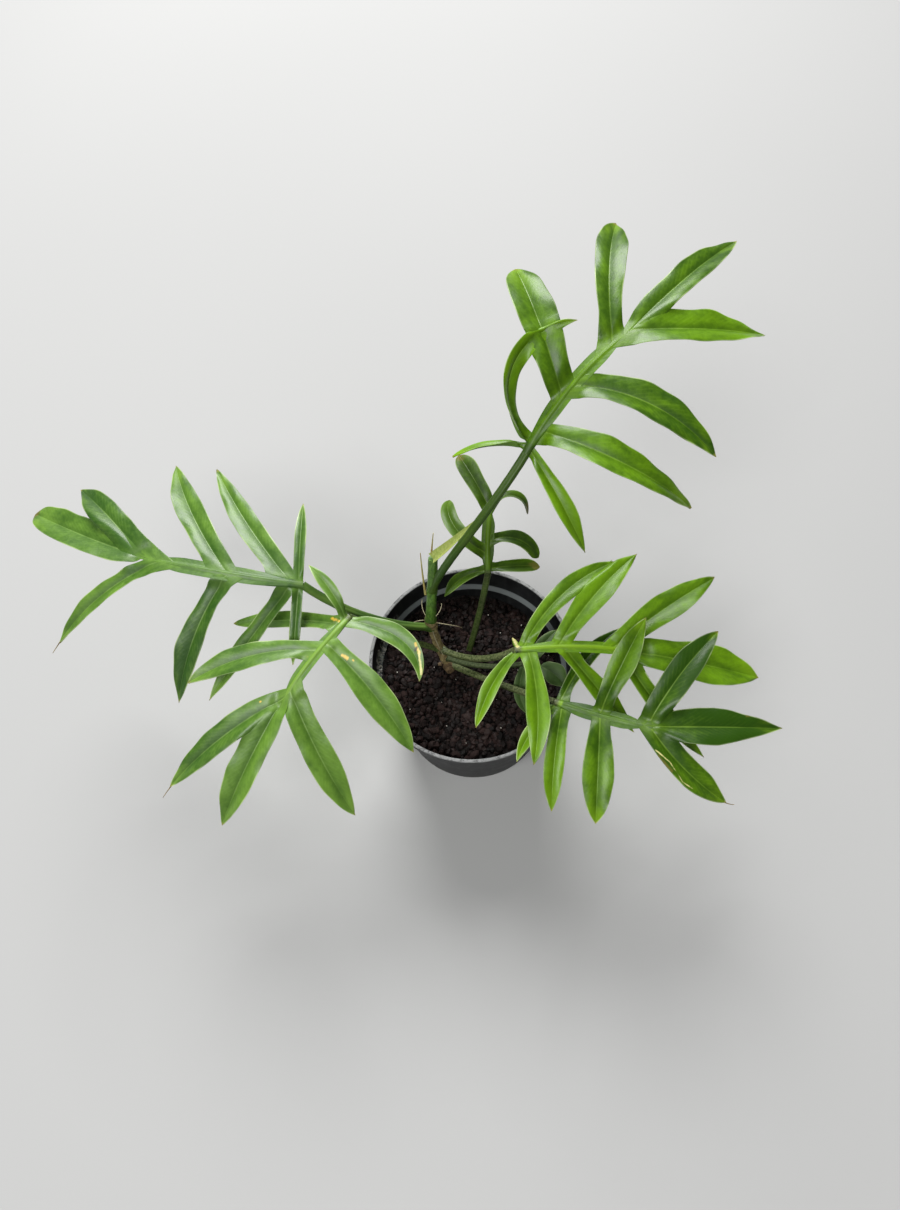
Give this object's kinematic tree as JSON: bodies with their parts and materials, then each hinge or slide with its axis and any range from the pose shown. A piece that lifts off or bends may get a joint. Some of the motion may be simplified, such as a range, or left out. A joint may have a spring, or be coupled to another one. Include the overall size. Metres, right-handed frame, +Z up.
{
  "type": "potted philodendron xanadu",
  "caption": "Young philodendron xanadu with deeply lobed glossy leaves, growing in soil in a round black nursery pot.",
  "frame": {"origin": "middle of the flat underside of the pot", "axes": "+Z up along the pot's axis, -Y towards the viewer of the picture, +X to the viewer's right, towards the two right-hand leaves"},
  "size_m": [0.5653, 0.3687, 0.3437],
  "materials": {
    "pot": "matte black moulded plastic with a slightly polished lip",
    "soil": "coarse damp crumbs of dark brown potting mix",
    "leaf": "glossy mid green leaf with a paler yellow-green midrib",
    "leaf_dull": "dull greyish green older leaf",
    "stem": "tan-brown woody stem",
    "shoot": "smooth dark green shoot",
    "sheath": "thin yellow-green leaf sheath with a dry tip"
  },
  "bodies": {
    "root": {"pot": "pot", "soil": "soil", "stem": "stem", "shoot": "shoot", "sheath": "sheath", "leaf_tall": "leaf", "leaf_left": "leaf", "leaf_front_left": "leaf", "leaf_small": "leaf", "leaf_right": "leaf", "leaf_front_right": "leaf", "leaf_old": "leaf_dull"}
  },
  "joints": []
}
